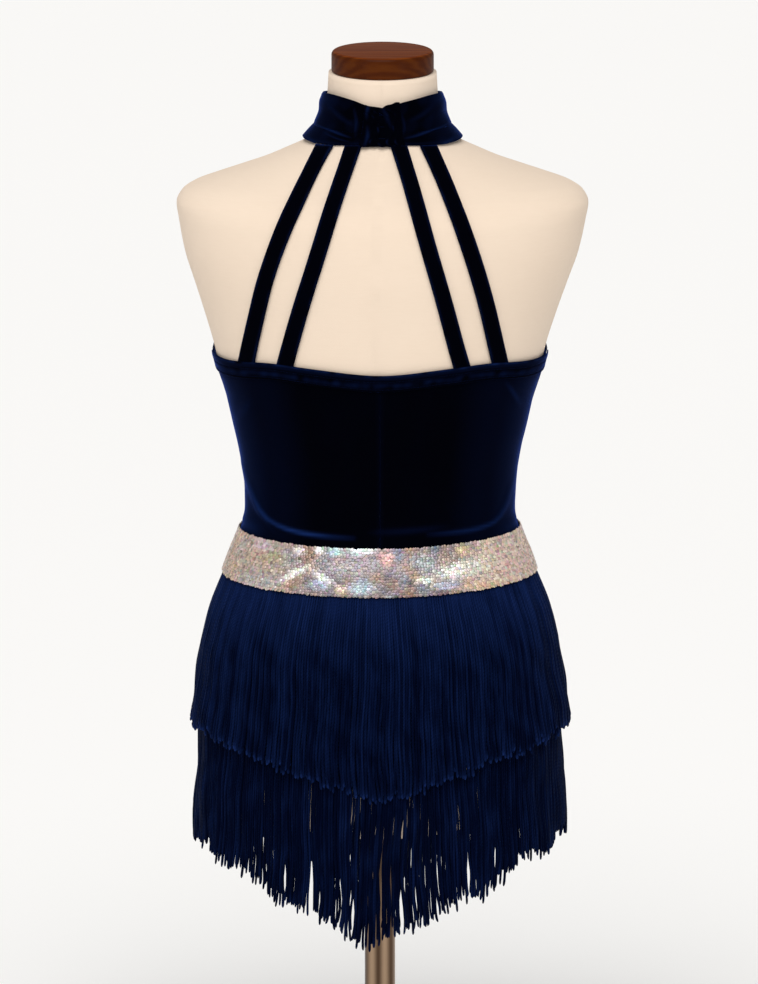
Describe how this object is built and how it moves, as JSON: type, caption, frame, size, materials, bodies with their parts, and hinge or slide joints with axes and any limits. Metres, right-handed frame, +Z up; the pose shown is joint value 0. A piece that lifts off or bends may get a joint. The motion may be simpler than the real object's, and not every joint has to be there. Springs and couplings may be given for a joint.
{
  "type": "fringe dance costume on limbless dress form",
  "caption": "Navy velvet halter dance costume with strappy back, sequin belt and V-cut fringe tiers, worn by a limbless dress form on a round stand.",
  "frame": {"origin": "centre of the stand's base, on the floor", "axes": "+Z up; -Y is the costume's back, +Y its front; -X is the wearer's left"},
  "size_m": [0.378, 0.33, 0.98],
  "materials": {
    "velvet": "navy stretch velvet",
    "sequins": "silver and champagne holographic sequins",
    "chainette": "navy twisted rayon fringe",
    "linen": "cream cotton cover on a hard form",
    "walnut": "dark stained and varnished",
    "bronze": "bronze plated"
  },
  "bodies": {
    "root": {"bodice_back_left": "velvet", "bodice_back_right": "velvet", "bodice_front": "velvet", "back_edge_band": "velvet", "strap_left_outer": "velvet", "strap_left_inner": "velvet", "strap_right_inner": "velvet", "strap_right_outer": "velvet", "collar_base": "velvet", "collar_band": "velvet", "collar_closure": "velvet", "hip_back": "velvet", "hip_front": "velvet", "sequin_belt": "sequins", "fringe_upper": "chainette", "fringe_lower": "chainette", "form_torso": "linen", "neck_cap": "walnut", "pole": "bronze", "stand_base": "bronze"}
  },
  "joints": []
}
